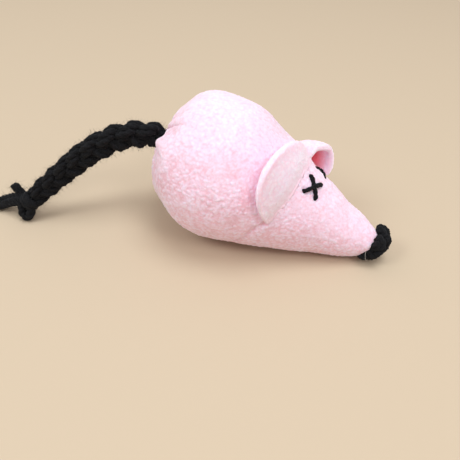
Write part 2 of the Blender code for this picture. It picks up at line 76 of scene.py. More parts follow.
# How far the tip's upper side reaches over the nose, along the body and up from it
TIP_REACH = 1.7 * MM
TIP_LIFT = 0.3 * MM
FOLD_COUNT = 18
FOLD_HEIGHT = 2.3 * MM
MOUTH_ROLL_REACH = 1.2 * MM
FLOOR_PRESS = 0.7 * MM
STITCH_DIMPLE = (1.3 * MM, 0.45 * MM)
FLEECE_CLUMP = 1.4 * MM
EAR_CLUMP = 1.25 * MM
# Creases pressed into the cloth, with painted shade along them: (points as shares of the length and degrees,
# width, depth)
CREASES = [
    ([(0.512, -81), (0.481, -96), (0.458, -120)], 1.0 * MM, 0.6 * MM),
    ([(0.000, -47), (0.010, -44), (0.034, -43)], 2.5 * MM, 0.8 * MM),
]

# Painted shade and reflected pink light on the body beside the near ear's edge, where the ear shades it:
# share, degrees, reaches in both, and depth of colour
EAR_SIDE_SHADE = (0.40, -62, 0.032, 24, 0.20)

# Ears, from the ridge to the lower tip: (share of the body's length at the base, degrees down from the
# ridge, width in mm, lean from the cloth behind in degrees, curl in degrees)
EARS = {
    "right": [
        (0.566, -12, 6.1, 5, 4), (0.568, -3, 8.9, 8, 5), (0.564, 16, 13.9, 13, 8), (0.559, 36, 17.7, 13, 14),
        (0.554, 50, 17.3, 13, 14), (0.541, 66, 10.9, 13, 12), (0.528, 82, 1.2, 13, 8),
    ],
    "left": [
        (0.486, -8, 5.0, 176, 14), (0.492, 4, 6.0, 176, 18), (0.503, 22, 7.4, 120, 62),
        (0.519, 40, 12.0, 113, 53), (0.506, 60, 16.8, 150, 43), (0.509, 82, 2.9, 96, 35),
    ],
}
EAR_HALF_THICKNESS = {"right": 1.0 * MM, "left": 1.15 * MM}
EYES = {"right": (0.617, 23.4), "left": (0.635, 22.0)}
EYE_LIFT = {"right": 0.45 * MM, "left": -0.20 * MM}
EYE_YARN_RADIUS = {"right": 0.80 * MM, "left": 0.68 * MM}
STITCH_REACHES = [(0.030, 10.4), (0.030, -11.4)]
SIGNS = {"right": -1, "left": 1}

# The braid: its thickness, the length of a full turn of its strands, how far they go to each side, and
# their plies
BRAID_PITCH = 20.5 * MM
BRAID_TALL = 2.75 * MM
BRAID_FLAT = 1.25 * MM
BRAID_PLY_RADIUS = 1.22 * MM
BRAID_PLY_PITCH = 16 * MM
TAIL_HUMP = np.array([-0.3, 0.0, 0.5]) * MM
FUZZ_COUNT = 15000
TWINE_RADIUS = 0.35 * MM
TWINE_REACH = 2.0 * MM

# The yarn turns of the nose: (sideways place in mm, first and last angle, depth in mm)
NOSE_TURNS = [(-3.0, 92, -118, 1.7), (2.5, 118, -140, 1.6), (0.0, 70, -80, 2.1)]

CAMERA_PLACE = (0.01292, -0.14773, 0.12953)
CAMERA_RIGHT = (0.96471, 0.25217, 0.07577)
CAMERA_UP = (-0.22245, 0.62658, 0.74694)
CAMERA_AHEAD = (-0.14087, 0.73744, -0.66056)
FLOOR_COLOR = (0.565, 0.458, 0.340, 1)
FLOOR_HALF_SIDE = 3.0
LIGHTS_AIM = (0, 0, 0.02)
# Lights: (name, place, diameter, watts, colour)
LIGHTS = [
    ("softbox", (0.14, -0.02, 1.10), 0.60, 5.9, (0.94, 0.98, 1.0)),
    ("fill_left", (-0.45, -0.40, 0.60), 0.30, 1.9, (0.93, 1.0, 1.0)),
    ("fill_right", (0.45, -0.40, 0.75), 0.30, 1.7, (1.0, 0.99, 0.99)),
]


# Noise

def hashed(cells, seed):
    """A number from 0 to 1 for each integer cell."""
    c = cells.astype(np.int64)
    h = c[..., 0] * 73856093 ^ c[..., 1] * 19349663 ^ c[..., 2] * 83492791 ^ seed * 2654435761
    h = (h ^ (h >> 13)) * 1274126177 & 0x7FFFFFFF
    h = (h ^ (h >> 15)) * 97531 & 0x7FFFFFFF
    h = h ^ (h >> 11)
    return (h & 0xFFFFF) / float(0xFFFFF)


def value_noise(points, size, seed=0):
    """Smooth noise from -1 to 1 whose lumps are about so large."""
    q = points / size
    base = np.floor(q)
    t = q - base
    t = t * t * t * (t * (t * 6 - 15) + 10)
    total = 0
    for dx in (0, 1):
        for dy in (0, 1):
            for dz in (0, 1):
                corner = hashed(base + (dx, dy, dz), seed)
                weight = ((t[..., 0] if dx else 1 - t[..., 0]) * (t[..., 1] if dy else 1 - t[..., 1])
                          * (t[..., 2] if dz else 1 - t[..., 2]))
                total = total + corner * weight
    return total * 2 - 1


def cell_noise(points, size, seed=0):
    """The distance to the nearest of scattered points, in cells, and that point's number."""
    q = points / size
    base = np.floor(q)
    first = np.full(q.shape[:-1], 9.0)
    number = np.zeros(q.shape[:-1])
    for dx in (-1, 0, 1):
        for dy in (-1, 0, 1):
            for dz in (-1, 0, 1):
                cell = base + (dx, dy, dz)
                spot = cell + np.stack([hashed(cell, seed + k) for k in (1, 2, 3)], -1)
                d = np.sqrt(((q - spot) ** 2).sum(-1))
                nearer = d < first
                number = np.where(nearer, hashed(cell, seed + 4), number)
                first = np.where(nearer, d, first)
    return first, number


def pile(points, size, seed=0):
    """The height of fleece pile, from 0 in the crevices to 1 on the clumps."""
    warp = np.stack([value_noise(points, size * 1.6, seed + 20 + k) for k in range(3)], -1)
    first, number = cell_noise(points + warp * size * 0.25, size, seed)
    clump = np.exp(-((first / 0.55) ** 2)) * (0.5 + 0.5 * number)
    small = cell_noise(points, size * 0.55, seed + 9)[0]
    curls = np.exp(-((small / 0.55) ** 2))
    patches = 0.85 + 0.15 * value_noise(points, size * 4.5, seed + 11)
    return np.clip((clump * 0.75 + curls * 0.45) * patches, 0, 1)


# Curves and meshes

def smooth_curve(points, steps):
    """Points on one smooth curve through the given points, as in the solids."""
    points = np.asarray(points, float)
    gaps = np.sqrt(np.linalg.norm(np.diff(points, axis=0), axis=1))
    knots = np.concatenate([[0], np.cumsum(gaps)])
    last = len(points) - 1
    slopes = [(points[min(i + 1, last)] - points[max(i - 1, 0)])
              / (knots[min(i + 1, last)] - knots[max(i - 1, 0)]) for i in range(last + 1)]
    curve = []
    for i in range(last):
        span = knots[i + 1] - knots[i]
        for k in range(steps):
            t = k / steps
            curve.append(points[i] * (2 * t**3 - 3 * t**2 + 1) + points[i + 1] * (3 * t**2 - 2 * t**3)
                         + (slopes[i] * (t**3 - 2 * t**2 + t) + slopes[i + 1] * (t**3 - t**2)) * span)
    curve.append(points[last])
    return np.array(curve)


def walked(points):
    """The distance walked to each point of a curve."""
    return np.concatenate([[0], np.cumsum(np.linalg.norm(np.diff(points, axis=0), axis=1))])


def resample(points, count):
    """So many points at even distances along a curve."""
    distance = walked(points)
    at = np.linspace(0, distance[-1], count)
    return np.stack([np.interp(at, distance, points[:, k]) for k in range(points.shape[1])], 1)


def mesh_object(name, verts, faces, material, smooth=True):
    """A mesh object from arrays of corners and of faces with equal numbers of sides."""
    mesh = bpy.data.meshes.new(name)
    verts = np.asarray(verts, np.float32).reshape(-1, 3)
    faces = np.asarray(faces, np.int32)
    sides = faces.shape[1]
    mesh.vertices.add(len(verts))
    mesh.vertices.foreach_set("co", verts.ravel())
    mesh.loops.add(faces.size)
    mesh.loops.foreach_set("vertex_index", faces.ravel())
    mesh.polygons.add(len(faces))
    mesh.polygons.foreach_set("loop_start", np.arange(0, faces.size, sides, dtype=np.int32))
    mesh.update(calc_edges=True)
    mesh.validate()
    if smooth:
        mesh.shade_smooth()
    mesh.materials.append(material)
    made = bpy.data.objects.new(name, mesh)
    bpy.context.collection.objects.link(made)
    return made


def grid_faces(rows, columns, around=False, loop=False, start=0):
    """The faces of a grid of points, closed round its columns or its rows if asked."""
    i = np.arange(rows if loop else rows - 1)
    j = np.arange(columns if around else columns - 1)
    i, j = np.meshgrid(i, j, indexing="ij")
    i2 = (i + 1) % rows
    j2 = (j + 1) % columns
    quads = np.stack([i * columns + j, i * columns + j2, i2 * columns + j2, i2 * columns + j], -1)
    return quads.reshape(-1, 4) + start


def grid_normals(grid, around=False):
    """Unit normals of a grid of points."""
    along = np.gradient(grid, axis=0)
    across = np.roll(grid, -1, 1) - np.roll(grid, 1, 1) if around else np.gradient(grid, axis=1)
    n = np.cross(across, along)
    return n / np.maximum(np.linalg.norm(n, axis=-1, keepdims=True), 1e-12)


def finish_mesh(made):
    """Fills a mesh's open ends and points its faces out."""
    sculpt = bmesh.new()
    sculpt.from_mesh(made.data)
    bmesh.ops.holes_fill(sculpt, edges=[e for e in sculpt.edges if e.is_boundary])
    bmesh.ops.recalc_face_normals(sculpt, faces=sculpt.faces)
    sculpt.to_mesh(made.data)
    sculpt.free()
    made.data.shade_smooth()


def set_attribute(made, name, values):
    """A number for each corner of a mesh, for its material."""
    attribute = made.data.attributes.new(name, "FLOAT", "POINT")
    attribute.data.foreach_set("value", np.asarray(values, np.float32).ravel())


# Materials

def new_material(name):
    """A Principled material and its parts."""
    material = bpy.data.materials.new(name)
    material.use_nodes = True
    tree = material.node_tree
    return material, tree, tree.nodes["Principled BSDF"]


def add_node(tree, kind, **values):
    """A shader node with its inputs or settings."""
    node = tree.nodes.new(kind)
    for key, value in values.items():
        if key in node.inputs:
            node.inputs[key].default_value = value
        else:
            setattr(node, key, value)
    return node


def ramp(tree, source, stops):
    """A colour ramp from a value."""
    node = tree.nodes.new("ShaderNodeValToRGB")
    elements = node.color_ramp.elements
    while len(elements) < len(stops):
        elements.new(0.5)
    for element, (position, color) in zip(elements, stops):
        element.position = position
        element.color = (*color, 1)
    tree.links.new(source, node.inputs["Fac"])
    return node.outputs["Color"]


def blended(tree, factor, first, second):
    """A mix of two colours, each a socket or a plain colour."""
    node = tree.nodes.new("ShaderNodeMix")
    node.data_type = "RGBA"
    tree.links.new(factor, node.inputs["Factor"])
    for socket, color in ((node.inputs[6], first), (node.inputs[7], second)):
        if isinstance(color, tuple):
            socket.default_value = (*color, 1)
        else:
            tree.links.new(color, socket)
    return node.outputs[2]


def grain(tree, size, detail=4.0):
    """Fine noise in object space."""
    coords = tree.nodes.new("ShaderNodeTexCoord")
    noise = add_node(tree, "ShaderNodeTexNoise", Scale=1 / size, Detail=detail, Roughness=0.7)
    tree.links.new(coords.outputs["Object"], noise.inputs["Vector"])
    return noise.outputs["Fac"]


def add_bump(tree, shader, height, strength, distance):
    """A bump of a height on a shader."""
    bump = add_node(tree, "ShaderNodeBump", Strength=strength, Distance=distance)
    tree.links.new(height, bump.inputs["Height"])
    tree.links.new(bump.outputs["Normal"], shader.inputs["Normal"])


def soft_cloth(shader, weight, scale):
    """Rough pile that lets some light through."""
    shader.inputs["Roughness"].default_value = 0.95
    shader.inputs["Specular IOR Level"].default_value = 0.15
    shader.inputs["Sheen Weight"].default_value = 0.35
    shader.inputs["Sheen Roughness"].default_value = 0.6
    shader.inputs["Sheen Tint"].default_value = (1.0, 0.92, 0.98, 1)
    shader.inputs["Subsurface Weight"].default_value = weight
    shader.inputs["Subsurface Radius"].default_value = (1.0, 0.62, 0.68)
    shader.inputs["Subsurface Scale"].default_value = scale


def fleece_material():
    """Pale pink pile: deeper pink between the clumps, partly the cloth's own and partly painted shade in the
    crevices, soft blotches and fine fibres.
    """
    material, tree, shader = new_material("fleece_pile")
    height = add_node(tree, "ShaderNodeAttribute", attribute_name="pile").outputs["Fac"]
    # Low pile is deeper pink: partly the cloth's own colour, partly painted shade in the crevices
    stops = [(0.02, (0.86, 0.52, 0.64)), (0.34, (0.92, 0.66, 0.81)), (0.70, (0.95, 0.75, 0.92))]
    shade = ramp(tree, height, stops)
    patch = ramp(tree, grain(tree, 0.007, 3.0), [(0.45, (0, 0, 0)), (0.75, (0.3, 0.3, 0.3))])
    color = blended(tree, patch, shade, (0.91, 0.62, 0.74))
    tree.links.new(color, shader.inputs["Base Color"])
    add_bump(tree, shader, grain(tree, 0.00028), 0.35, 0.0002)
    soft_cloth(shader, 0.5, 0.0013)
    return material


def ear_material():
    """The ears' cloth: flatter pile inside, deeper pink between the clumps that is partly painted shade,
    painted shade and reflected pink light deep in the far ear's fold, and some light that comes through.
    """
    material, tree, shader = new_material("fleece_ears")
    height = add_node(tree, "ShaderNodeAttribute", attribute_name="pile").outputs["Fac"]
    face = add_node(tree, "ShaderNodeAttribute", attribute_name="face").outputs["Fac"]
    fold_shade = add_node(tree, "ShaderNodeAttribute", attribute_name="fold_shade").outputs["Fac"]
    outer = ramp(tree, height, [(0.05, (0.95, 0.63, 0.77)), (0.7, (0.985, 0.75, 0.90))])
    inner = ramp(tree, height, [(0.05, (0.95, 0.67, 0.82)), (0.7, (0.985, 0.82, 0.96))])
    color = blended(tree, face, outer, inner)
    # Painted shade and reflected pink light deep in the far ear's fold
    color = blended(tree, fold_shade, color, (0.96, 0.18, 0.24))
    tree.links.new(color, shader.inputs["Base Color"])
    add_bump(tree, shader, grain(tree, 0.00026), 0.3, 0.0002)
    soft_cloth(shader, 0.7, 0.0036)
    free = add_node(tree, "ShaderNodeAttribute", attribute_name="free").outputs["Fac"]
    through = add_node(tree, "ShaderNodeMapRange")
    through.inputs["To Max"].default_value = 0.7
    tree.links.new(free, through.inputs["Value"])
    tree.links.new(through.outputs["Result"], shader.inputs["Subsurface Weight"])
    return material


def yarn_material(name, dark, light):
    """Matte wool yarn: fine fibre streaks and a weak sheen."""
    material, tree, shader = new_material(name)
    fibres = grain(tree, 0.00035, 5.0)
    tree.links.new(ramp(tree, fibres, [(0.40, dark), (0.75, light)]), shader.inputs["Base Color"])
    add_bump(tree, shader, fibres, 0.6, 0.0003)
    shader.inputs["Roughness"].default_value = 0.9
    shader.inputs["Specular IOR Level"].default_value = 0.2
    shader.inputs["Sheen Weight"].default_value = 0.04
    shader.inputs["Sheen Roughness"].default_value = 0.5
    shader.inputs["Sheen Tint"].default_value = (0.8, 0.85, 0.95, 1)
    return material


def plain_textile(name, color, darker, size, bump_distance=0.0002):
    """A hidden textile or herb: blotchy colour and a grainy bump."""
    material, tree, shader = new_material(name)
    noise = grain(tree, size, 5.0)
    tree.links.new(ramp(tree, noise, [(0.35, darker), (0.65, color)]), shader.inputs["Base Color"])
    add_bump(tree, shader, noise, 0.6, bump_distance)
    shader.inputs["Roughness"].default_value = 0.9
    return material


FLEECE = fleece_material()
EAR_CLOTH = ear_material()
YARN = yarn_material("black_yarn", (0.002, 0.002, 0.003), (0.016, 0.016, 0.019))
FUZZ = yarn_material("black_yarn_fuzz", (0.008, 0.008, 0.009), (0.02, 0.02, 0.022))
LINT = yarn_material("pale_lint", (0.55, 0.50, 0.46), (0.75, 0.70, 0.66))
TWINE = plain_textile("pink_twine", (0.90, 0.66, 0.74), (0.72, 0.46, 0.55), 0.0003)


# Camera, floor and light

def make_camera():
    """The photograph's view: 39 mm on a 36 mm square frame, 130 mm above the floor."""
    data = bpy.data.cameras.new("photo_view")
    data.lens = 39.18
    data.sensor_width = 36.0
    data.clip_start = 0.01
    camera = bpy.data.objects.new("photo_view", data)
    turn = Matrix((Vector(CAMERA_RIGHT), Vector(CAMERA_UP), -Vector(CAMERA_AHEAD))).transposed()
    camera.matrix_world = Matrix.Translation(CAMERA_PLACE) @ turn.to_4x4()
    bpy.context.collection.objects.link(camera)
    bpy.context.scene.camera = camera


def add_area(name, place, size, power, color):
    """A round soft light that shines on the mouse."""
    data = bpy.data.lights.new(name, "AREA")
    data.shape = "DISK"
    data.size = size
    data.energy = power
    data.color = color
    lamp = bpy.data.objects.new(name, data)
    lamp.location = place
    lamp.rotation_mode = "QUATERNION"
    lamp.rotation_quaternion = (Vector(LIGHTS_AIM) - Vector(place)).to_track_quat("-Z", "Y")
    bpy.context.collection.objects.link(lamp)


def make_stage():
    """A plain pale floor, soft lights, and a pale surrounding that is dimmer low down."""
    material, tree, shader = new_material("floor_pale")
    shader.inputs["Base Color"].default_value = FLOOR_COLOR
    shader.inputs["Roughness"].default_value = 0.8
    shader.inputs["Specular IOR Level"].default_value = 0.2
    half = FLOOR_HALF_SIDE
    corners = [(-half, -half, 0), (half, -half, 0), (half, half, 0), (-half, half, 0)]
    floor = mesh_object("floor", np.array(corners) - (0, 0, 0.0001), [[0, 1, 2, 3]], material, False)
    world = bpy.data.worlds.new("surrounding")
    world.use_nodes = True
    tree = world.node_tree
    direction = tree.nodes.new("ShaderNodeTexCoord")
    parts = tree.nodes.new("ShaderNodeSeparateXYZ")
    tree.links.new(direction.outputs["Generated"], parts.inputs["Vector"])
    sky = ramp(tree, parts.outputs["Z"], [(0.0, (0.28, 0.26, 0.24)), (0.80, (0.72, 0.70, 0.68))])
    tree.links.new(sky, tree.nodes["Background"].inputs["Color"])
    bpy.context.scene.world = world
    for light in LIGHTS:
        add_area(*light)


# Fleece body

def body_profile(count):
    """Even (along, radius) points of the cover's outside, from the gathered mouth to the tip."""
    points = [MOUTH] + [(BODY_LENGTH * a, BODY_RADIUS * r) for a, r in PROFILE_SHARES]
    points.append((BODY_LENGTH, TIP_RADIUS))
    return resample(smooth_curve(points, 40), count)


FINE = body_profile(2000)
SIDE = FINE[int(np.argmin(FINE[:, 0])):]


def radius_at(along):
    """The plain cover's radius so far along the body."""
    return np.interp(along, SIDE[:, 0], SIDE[:, 1])


def to_world(along, angle, radius):
    """Points from the distance along the body, the angle down from the top to the left, and the radius."""
    along, angle, radius = np.broadcast_arrays(along, angle, radius)
    return (POLE + along[..., None] * AHEAD
            + (radius * np.sin(angle))[..., None] * LEFT + (radius * np.cos(angle))[..., None] * UP)


def to_body(points):
    """The distance along the body, the angle and the radius of points."""
    q = points - POLE
    side = q @ LEFT
    up = q @ UP
    return q @ AHEAD, np.arctan2(side, up), np.hypot(side, up)


def on_cover(share, degrees):
    """A point on the plain cover with its outward and backward directions."""
    along = np.asarray(share, float) * BODY_LENGTH
    angle = np.radians(np.asarray(degrees, float))
    step = BODY_LENGTH / 200
    slope = (radius_at(along + step) - radius_at(along - step)) / (2 * step)
    around = np.sin(angle)[..., None] * LEFT + np.cos(angle)[..., None] * UP
    outward = around - slope[..., None] * AHEAD
    outward /= np.linalg.norm(outward, axis=-1, keepdims=True)
    backward = -AHEAD - slope[..., None] * around
    backward /= np.linalg.norm(backward, axis=-1, keepdims=True)
    return to_world(along, angle, radius_at(along)), outward, backward


def gather(points, angle):
    """How far the folds of the gathered mouth stand out, and how deep in a fold each point is, for painted
    shade in the folds.
    """
    circle = np.stack([np.cos(angle), np.sin(angle), np.zeros_like(angle)], -1)
    turned = angle + 0.10 * value_noise(circle, 0.40, 5)
    fold = np.abs(np.cos(turned * FOLD_COUNT / 2 + math.radians(36))) ** 0.55
    strength = 0.62 + 0.38 * value_noise(circle, 0.30, 8)
    from_pole = np.linalg.norm(points - POLE, axis=-1)
    reach = 0.025 + 0.009 * value_noise(circle, 0.42, 12)
    fade = np.clip(1 - from_pole / reach, 0, 1) ** 1.1
    inner = np.clip((from_pole - 0.0045) / 0.004, 0, 1)
    return strength * fade * inner * (fold - 0.5), strength * fade * inner * (1 - fold)


def dent(points, route, width):
    """How near points are to a line on the cover, from 0 to 1 on it."""
    line = smooth_curve([on_cover(share, degrees)[0] for share, degrees in route], 10)
    nearest = np.full(points.shape[:-1], 9.0)
    for start, end in zip(line, line[1:]):
        run = end - start
        t = np.clip(((points - start) @ run) / (run @ run), 0, 1)
        nearest = np.minimum(nearest, ((points - start - t[..., None] * run) ** 2).sum(-1))
    return np.exp(-nearest / width**2)


def relief(along, angle):
    """How far the stuffed cloth stands out from the plain cover, and how deep in a fold or crease it is, for
    painted shade there.
    """
    points = to_world(along, angle, radius_at(along))
    rise, fold_shade = gather(points, angle)
    lift = rise * FOLD_HEIGHT
    lift = lift + 0.00035 * value_noise(points, 0.017, 31) + 0.0002 * value_noise(points, 0.009, 32)
    degrees = np.degrees(angle)
    for share, middle, reach, spread, height in SWELLS:
        turn = (degrees - middle + 180) % 360 - 180
        lift = lift + height * np.exp(-((along / BODY_LENGTH - share) / reach) ** 2 - (turn / spread) ** 2)
    for route, width, deep in CREASES:
        near = dent(points, route, width)
        lift = lift - deep * near
        # Creases also take painted shade in the colour
        fold_shade = np.maximum(fold_shade, near * 0.4)
    for side, sign in SIGNS.items():
        share, middle = EYES[side]
        for reach, spread in STITCH_REACHES:
            for way in (-1, 1):
                end = on_cover(share + way * reach, sign * (middle + way * spread))[0]
                near = np.exp(-((points - end) ** 2).sum(-1) / STITCH_DIMPLE[0] ** 2)
                lift = lift - STITCH_DIMPLE[1] * near
    return lift, fold_shade


def on_cloth(share, degrees, lift):
    """A point so far out over the stuffed cloth, with the outward and backward directions."""
    point, outward, backward = on_cover(share, degrees)
    rise = relief(np.asarray(share, float) * BODY_LENGTH, np.radians(np.asarray(degrees, float)))[0]
    return point + outward * (rise + np.asarray(lift))[..., None], outward, backward


def reached(points, along, angle):
    """Points whose part at the tip's upper side is drawn forward over the nose."""
    near = np.clip((along / BODY_LENGTH - 0.86) / 0.10, 0, 1)
    near = near * near * (3 - 2 * near) * ((1 + np.cos(angle)) / 2) ** 2
    return points + near[..., None] * (AHEAD * TIP_REACH + UP * TIP_LIFT)


def make_body():
    """The stuffed fleece cone: gathered folds, stuffing lumps, creases, pile, and the skin inside."""
    rows, columns = ((480, 600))
    profile = body_profile(rows)
    angle = np.linspace(0, 2 * np.pi, columns, endpoint=False)
    along, turn = np.meshgrid(profile[:, 0], angle, indexing="ij")
    points = reached(to_world(along, turn, np.repeat(profile[:, 1:2], columns, 1)), along, turn)
    normals = outward_normals(points, along)
    lift, fold_shade = relief(along, turn)
    lip = np.clip(np.arange(rows) / (rows * 0.02), 0, 1)[:, None]
    points = points + normals * (lift * lip)[..., None]
    rolled = np.exp(-(profile[:, 1] - profile[0, 1]) / MOUTH_ROLL_REACH) * (along[:, 0] < BODY_LENGTH / 2)
    toward_axis = unit(POLE + along[..., None] * AHEAD - points)
    points = points + rolled[:, None, None] * (toward_axis * 0.7 - AHEAD * 0.5) * MM
    normals = outward_normals(points, along)
    fluff = pile(points, FLEECE_CLUMP, 3)
    edge = np.clip(np.minimum(np.arange(rows), np.arange(rows)[::-1]) / 8, 0, 1)[:, None]
    share = along / BODY_LENGTH
    degrees = (np.degrees(turn) + 180) % 360 - 180
    low = np.clip((np.abs(degrees) - 50) / 60, 0, 1)
    rough = (0.32 + 0.22 * low * (3 - 2 * low) * low) * np.clip(1.25 - share * 0.5, 0, 1)
    rough = rough * np.clip(0.55 + share * 4, 0, 1)
    points = pressed_flat(points + normals * ((fluff - 0.5) * rough * MM * edge)[..., None])
    under = inner_skin(profile, angle)
    grid = np.concatenate([points, under[::-1]], 0)
    body = mesh_object("mouse_body", grid, grid_faces(len(grid), columns, around=True, loop=True), FLEECE)
    shown = pile_with_painted_shade(points, fluff, low, fold_shade, share, degrees)
    set_attribute(body, "pile", np.concatenate([shown.ravel(), np.full(under[..., 0].size, 0.5)]))
    finish_mesh(body)
    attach(body, "mouse")
    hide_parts("fleece_cover")


def pressed_flat(points):
    """Points near the floor, flattened softly on to it."""
    squeeze = np.clip(points[..., 2] / FLOOR_PRESS, -3, 1)
    low = points[..., 2] < FLOOR_PRESS
    points[..., 2] = np.where(low, FLOOR_PRESS * np.exp(squeeze - 1), points[..., 2])
    return points


def inner_skin(profile, angle):
    """The cover's inner side, one thickness in from the outer (along, radius) points."""
    inner = resample(profile, 40)
    step = np.gradient(inner, axis=0)
    step /= np.linalg.norm(step, axis=1, keepdims=True)
    inside = inner + np.stack([step[:, 1], -step[:, 0]], 1) * COVER_THICKNESS
    inside[0] = (inner[0, 0] + COVER_THICKNESS, inner[0, 1])
    inside[-1] = (inner[-1, 0] - COVER_THICKNESS, inner[-1, 1])
    along, turn = np.meshgrid(inside[:, 0], angle, indexing="ij")
    under = to_world(along, turn, np.repeat(inside[:, 1:2], len(angle), 1))
    under[..., 2] = np.maximum(under[..., 2], COVER_THICKNESS)
    return under


def pile_with_painted_shade(points, fluff, low, fold_shade, share, degrees):
    """The pile's height as its colour shows it: lower in soft blotches, lower as painted shade in folds, in
    creases and beside the near ear, and with stronger contrast as painted shade low on the sides.
    """
    blotch = value_noise(points, 3.2 * MM, 50) * 0.10 + value_noise(points, 1.7 * MM, 51) * 0.08
    # Colour contrast is stronger low on the sides: painted shade where less light falls
    shown = 0.46 + (fluff - 0.46) * (0.9 + 0.6 * low) + blotch * (0.6 + 0.8 * low)
    # Painted shade and reflected pink light on the body beside the near ear
    middle_share, middle_degrees, share_reach, degrees_reach, ear_shade = EAR_SIDE_SHADE
    off = ((share - middle_share) / share_reach) ** 2 + ((degrees - middle_degrees) / degrees_reach) ** 2
    # Deeper pink as painted shade in folds and creases
    return np.clip(shown - 0.6 * fold_shade - ear_shade * np.exp(-off), 0, 1)


def outward_normals(points, along):
    """Unit normals of the body's grid, pointing out."""
    normals = grid_normals(points, around=True)
    middle = len(points) // 2
    out = points[middle] - POLE - along[middle, 0] * AHEAD
    return normals if (out * normals[middle]).sum() > 0 else -normals


# Ears

def ear_sheet(side, rows, columns):
    """The middle of an ear's cloth, the direction of its inner face, and its width at each row."""
    table = smooth_curve([(share * 100, *rest) for share, *rest in EARS[side]], 30)
    table = resample(table, rows)
    middle = np.zeros((rows, columns, 3))
    face = np.zeros((rows, columns, 3))
    lift = 0.3 * MM
    if side == "right":
        lift = np.interp(np.linspace(0, 1, rows), [0, 0.15, 0.3], [0.4, 0.2, -0.35]) * MM
    spot, outward, backward = on_cloth(table[:, 0] / 100, SIGNS[side] * table[:, 1], lift)
    for k in range(columns):
        share = max(k - 0.5, 0) / (columns - 1)
        turn = np.radians(table[:, 3] + table[:, 4] * share)[:, None]
        if k:
            step = (table[:, 2] * MM / (columns - 1))[:, None]
            spot = spot + (backward * np.cos(turn) + outward * np.sin(turn)) * step
        middle[:, k] = spot
        face[:, k] = outward * np.cos(turn) - backward * np.sin(turn)
    return middle, face, table[:, 2] * MM


def make_ear(side):
    """A curled fleece flap sewn down along its base, with a soft rolled rim and pile on both faces."""
    rows, columns = ((150, 64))
    middle, face, width = ear_sheet(side, rows, columns)
    reach = np.linspace(0, 1, columns)[None, :]
    half = EAR_HALF_THICKNESS[side]
    if side == "right":
        half = half * np.interp(np.linspace(0, 1, rows), [0, 0.25], [0.4, 1])[:, None]
    from_rim = width[:, None] * (1 - reach)
    end = np.minimum(np.arange(rows), np.arange(rows)[::-1])[:, None] * 0.0006
    rounded = np.sqrt(np.clip(1 - np.clip(1 - from_rim / half, 0, 1) ** 2, 0, 1))
    rounded = rounded * np.sqrt(np.clip(1 - np.clip(1 - end / half, 0, 1) ** 2, 0.03, 1))
    roll_width = np.interp(np.linspace(0, 1, rows), [0, 0.22, 0.47, 1], [6.5, 4.2, 2.6, 1.2])[:, None] * MM
    roll = np.exp(-((from_rim - roll_width * 0.45) / (roll_width * 0.55)) ** 2)
    from_base = np.clip(width[:, None] * reach / (6.0 * MM), 0, 1)
    sewn = from_base**2 * (3 - 2 * from_base) if side == "right" else np.ones_like(from_base)
    raised = (half * rounded + 0.2 * roll * MM * rounded) * (0.15 + 0.85 * sewn)
    front = clear_of_cloth(middle + face * raised[..., None], (0.5 * sewn - 0.2) * MM)
    back = clear_of_cloth(middle - face * (half * rounded)[..., None], 0.1 * MM)
    inside = np.clip((from_rim - roll_width * 0.7) / (roll_width * 0.6), 0, 1)
    inside = inside * np.clip(width[:, None] * reach / (2.2 * MM) - 0.2, 0, 1)
    fluffs = []
    for grid, way, height in ((front, 1, 0.32 - 0.06 * inside), (back, -1, 0.36)):
        normals = grid_normals(grid)
        if ((front - back) * normals).sum() * way < 0:
            normals = -normals
        fluff = pile(grid, EAR_CLUMP, 40 + way)
        grid += normals * ((fluff - 0.45) * height * MM * np.minimum(rounded * 1.5, 1))[..., None]
        fluffs.append(fluff)
    ring = np.concatenate([front, back[:, ::-1]], 1)
    ear = mesh_object(f"{side}_ear", ring, grid_faces(rows, 2 * columns, around=True), EAR_CLOTH)
    shown = np.concatenate([fluffs[0], fluffs[1][:, ::-1]], 1)
    set_attribute(ear, "pile", np.clip(shown, 0, 1))
    set_attribute(ear, "face", np.concatenate([inside, inside * 0], 1))
    set_attribute(ear, "free", np.concatenate([from_base, from_base[:, ::-1]], 1) ** 2)
    # Painted shade and reflected pink light deep in the far ear's curled fold
    deep = np.zeros_like(from_rim)
    if side == "left":
        deep = np.clip((from_rim - 2.0 * MM) / (5.4 * MM), 0, 1)
    set_attribute(ear, "fold_shade", np.concatenate([deep, deep * 0], 1))
    finish_mesh(ear)
    declare_ear(ear, side)


def declare_ear(ear, side):
    """Puts the ear under the empty for its flap and hides the solid ear it takes the place of."""
    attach(ear, f"ear_{side}_flap")
    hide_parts(f"ear_{side}")


def clear_of_cloth(points, lift):
    """Points moved straight out to where they are at least so far over the cloth."""
    along, angle, radius = to_body(points)
    lowest = radius_at(along) + relief(along, angle)[0] + lift
    return to_world(along, angle, np.maximum(radius, lowest))


# Yarn

def frames(points):
    """Steady sideways directions along a curve."""
    run = np.gradient(points, axis=0)
    run /= np.linalg.norm(run, axis=1, keepdims=True)
    side = np.zeros_like(points)
    seed = np.cross(run[0], (0.3, 0.2, 0.93))
    side[0] = seed / np.linalg.norm(seed)
    for i in range(1, len(points)):
        s = side[i - 1] - run[i] * (side[i - 1] @ run[i])
        side[i] = s / np.linalg.norm(s)
    return run, side, np.cross(run, side)


